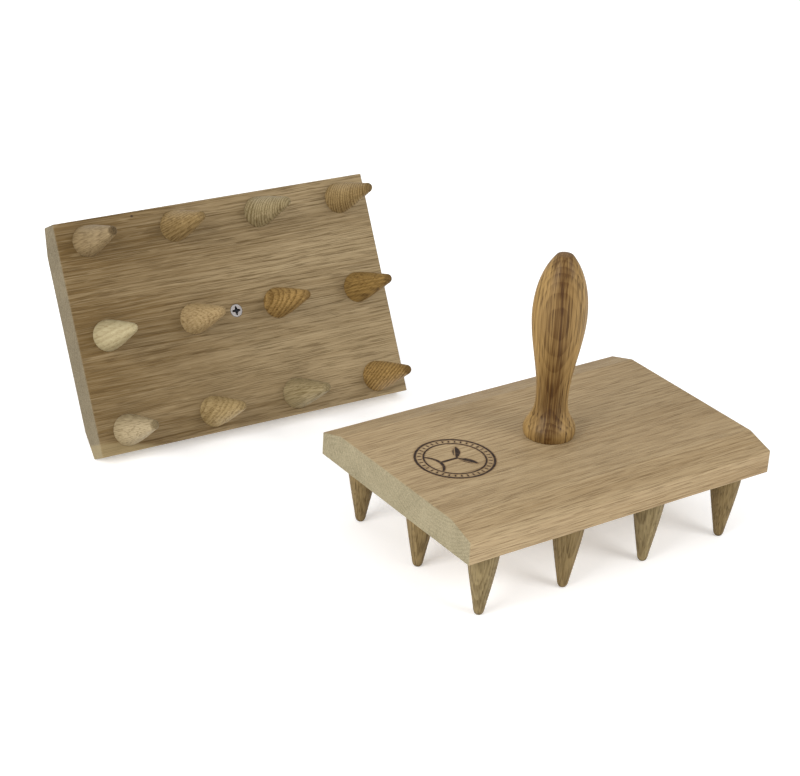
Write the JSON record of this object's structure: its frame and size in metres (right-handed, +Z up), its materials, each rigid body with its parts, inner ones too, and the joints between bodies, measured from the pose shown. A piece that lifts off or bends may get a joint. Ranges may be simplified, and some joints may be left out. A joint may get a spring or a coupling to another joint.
{
  "type": "seed tray dibber pair",
  "caption": "Pair of oak multi-peg dibbers for pressing sowing holes in seed trays, each a bevelled board with tapered pegs and a turned handle; one stands on its pegs, one leans back.",
  "frame": {"origin": "on the floor, under the middle of the pair's overall box", "axes": "+Z up; +X along the standing board's grain; +Y from the standing dibber towards the leaning one"},
  "size_m": [0.2892, 0.3938, 0.1705],
  "materials": {
    "board_oak": "planed, unfinished",
    "handle_oak": "turned and oiled, satin",
    "peg_oak": "turned, bare",
    "screw_steel": "bright zinc plate"
  },
  "bodies": {
    "standing_dibber": {"standing_board": "board_oak", "standing_handle": "handle_oak", "standing_screw": "screw_steel", "standing_peg_01": "peg_oak", "standing_peg_02": "peg_oak", "standing_peg_03": "peg_oak", "standing_peg_04": "peg_oak", "standing_peg_05": "peg_oak", "standing_peg_06": "peg_oak", "standing_peg_07": "peg_oak", "standing_peg_08": "peg_oak", "standing_peg_09": "peg_oak", "standing_peg_10": "peg_oak", "standing_peg_11": "peg_oak", "standing_peg_12": "peg_oak"},
    "leaning_dibber": {"leaning_board": "board_oak", "leaning_handle": "handle_oak", "leaning_screw": "screw_steel", "leaning_peg_01": "peg_oak", "leaning_peg_02": "peg_oak", "leaning_peg_03": "peg_oak", "leaning_peg_04": "peg_oak", "leaning_peg_05": "peg_oak", "leaning_peg_06": "peg_oak", "leaning_peg_07": "peg_oak", "leaning_peg_08": "peg_oak", "leaning_peg_09": "peg_oak", "leaning_peg_10": "peg_oak", "leaning_peg_11": "peg_oak", "leaning_peg_12": "peg_oak"}
  },
  "joints": [
    {"name": "leaning_lift", "type": "slide", "parent": "standing_dibber", "child": "leaning_dibber", "axis": [0, 0, 1], "range_m": [0, 0.2]}
  ]
}
